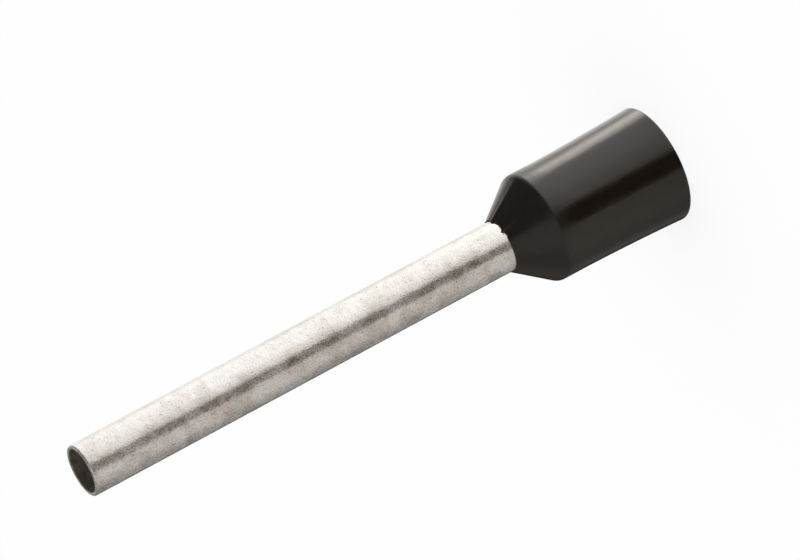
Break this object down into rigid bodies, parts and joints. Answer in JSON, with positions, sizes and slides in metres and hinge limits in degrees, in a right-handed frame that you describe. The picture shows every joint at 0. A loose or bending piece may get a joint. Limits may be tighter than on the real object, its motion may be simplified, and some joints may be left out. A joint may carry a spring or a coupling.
{
  "type": "wire ferrule",
  "caption": "Insulated wire-end ferrule: slim tinned copper sleeve with a black plastic collar that tapers onto it and opens gently at its rim.",
  "frame": {"origin": "centre of the collar's open rim, on which the ferrule stands", "axes": "+Z along the common axis of collar and sleeve, from the rim to the sleeve's open mouth; X and Y are any two square directions across it"},
  "size_m": [0.0046, 0.0046, 0.0249],
  "materials": {
    "tinned_copper": "satin tin plating on copper, fine grain with scattered tiny pits",
    "collar_plastic": "smooth black polypropylene with a soft gloss"
  },
  "bodies": {
    "root": {"contact_tube": "tinned_copper", "insulating_collar": "collar_plastic"}
  },
  "joints": []
}
